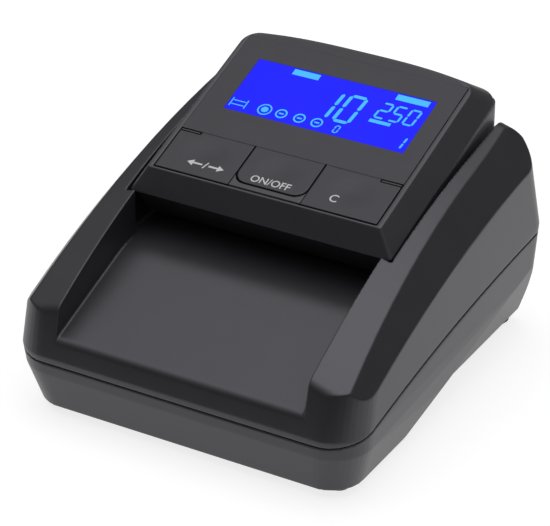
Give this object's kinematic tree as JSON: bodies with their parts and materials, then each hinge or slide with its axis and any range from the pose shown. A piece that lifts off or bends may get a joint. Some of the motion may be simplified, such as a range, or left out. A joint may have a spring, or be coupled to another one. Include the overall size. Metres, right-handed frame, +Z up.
{
  "type": "banknote counter",
  "caption": "Desktop banknote counting and checking machine: sloped note tray between two cheeks, lift-up head with a blue display and flap keys, geared feed and pinch rollers inside.",
  "frame": {"origin": "on the table, under the middle of the case", "axes": "+X to the right seen from the keys, +Y to the rear, +Z up"},
  "size_m": [0.123, 0.134, 0.0907],
  "materials": {
    "case_plastic": "fine moulded grain",
    "head_plastic": "fine moulded grain",
    "face_plastic": "fine moulded grain",
    "key_plastic": "fine moulded grain",
    "foot_rubber": "matt",
    "roller_rubber": "ground",
    "steel": "bright",
    "frame_steel": "zinc plated",
    "nylon": "natural",
    "board": "solder mask",
    "component_plastic": "moulded",
    "display_cover": "clear over blue",
    "display_body": "blue backlight",
    "sensor_window": "clear"
  },
  "bodies": {
    "case": {"lower_case": "case_plastic", "rubber_feet": "foot_rubber", "upper_case": "case_plastic", "case_screws": "steel", "main_board": "board", "board_parts": "component_plastic", "board_screws": "steel", "buzzer": "component_plastic", "power_inlet": "component_plastic", "feed_frame": "frame_steel", "frame_screws": "steel", "shaft_bushings": "nylon", "drive_motor": "frame_steel", "motor_screws": "steel", "idler_pin": "steel", "encoder_fork": "component_plastic", "bed_window": "sensor_window", "bed_sensor_board": "board", "bed_sensors": "component_plastic", "bed_sensor_screws": "steel"},
    "front_drive": {"front_feed_shaft": "steel", "front_feed_rollers": "roller_rubber", "front_shaft_gear": "nylon", "encoder_disc": "component_plastic"},
    "rear_drive": {"rear_feed_shaft": "steel", "rear_feed_rollers": "roller_rubber", "rear_shaft_gear": "nylon"},
    "idler": {"idler_gear": "nylon"},
    "motor_rotor": {"motor_shaft": "steel", "motor_pinion": "nylon"},
    "head": {"head_shell": "head_plastic", "head_cover": "head_plastic", "head_screws": "steel", "hinge_pins": "steel", "face_panel": "face_plastic", "display_window": "display_cover", "display_module": "display_body", "display_board": "board", "display_screws": "steel", "key_switches": "component_plastic", "head_window": "sensor_window", "head_sensor_board": "board", "head_sensors": "component_plastic", "magnetic_head": "steel"},
    "left_key": {"key_left": "key_plastic"},
    "centre_key": {"key_centre": "key_plastic"},
    "right_key": {"key_right": "key_plastic"},
    "front_pinch": {"front_pinch_axle": "steel", "front_pinch_rollers": "roller_rubber"},
    "rear_pinch": {"rear_pinch_axle": "steel", "rear_pinch_rollers": "roller_rubber"}
  },
  "joints": [
    {"name": "head_lift", "type": "hinge", "parent": "case", "child": "head", "pos_m": [0, 0.048, 0.064], "axis": [-1, 0, 0], "range_deg": [0, 60]},
    {"name": "left_key_press", "type": "hinge", "parent": "head", "child": "left_key", "pos_m": [-0.0263, 0.00498, 0.07264], "axis": [1, 0, 0], "range_deg": [0, 2], "stiffness_Nm_per_rad": 0.3, "springref_deg": -1.15},
    {"name": "centre_key_press", "type": "hinge", "parent": "head", "child": "centre_key", "pos_m": [0, 0.00498, 0.07264], "axis": [1, 0, 0], "range_deg": [0, 2], "stiffness_Nm_per_rad": 0.3, "springref_deg": -1.15},
    {"name": "right_key_press", "type": "hinge", "parent": "head", "child": "right_key", "pos_m": [0.0263, 0.00498, 0.07264], "axis": [1, 0, 0], "range_deg": [0, 2], "stiffness_Nm_per_rad": 0.3, "springref_deg": -1.15},
    {"name": "front_feed_turn", "type": "hinge", "parent": "case", "child": "front_drive", "pos_m": [0, 0.0075, 0.0366], "axis": [1, 0, 0], "continuous": true},
    {"name": "rear_feed_turn", "type": "hinge", "parent": "case", "child": "rear_drive", "pos_m": [0, 0.0395, 0.0366], "axis": [1, 0, 0], "continuous": true},
    {"name": "idler_turn", "type": "hinge", "parent": "case", "child": "idler", "pos_m": [0.0528, 0.0235, 0.0366], "axis": [1, 0, 0], "continuous": true},
    {"name": "motor_turn", "type": "hinge", "parent": "case", "child": "motor_rotor", "pos_m": [0.0528, -0.00393, 0.02143], "axis": [1, 0, 0], "continuous": true},
    {"name": "front_pinch_turn", "type": "hinge", "parent": "head", "child": "front_pinch", "pos_m": [0, 0.0075, 0.0519], "axis": [1, 0, 0], "continuous": true},
    {"name": "rear_pinch_turn", "type": "hinge", "parent": "head", "child": "rear_pinch", "pos_m": [0, 0.0395, 0.0519], "axis": [1, 0, 0], "continuous": true}
  ],
  "couplings": [
    {"joint": "rear_feed_turn", "follows": "front_feed_turn", "ratio": 1},
    {"joint": "idler_turn", "follows": "front_feed_turn", "ratio": -1.6667},
    {"joint": "motor_turn", "follows": "front_feed_turn", "ratio": -1.1111}
  ]
}
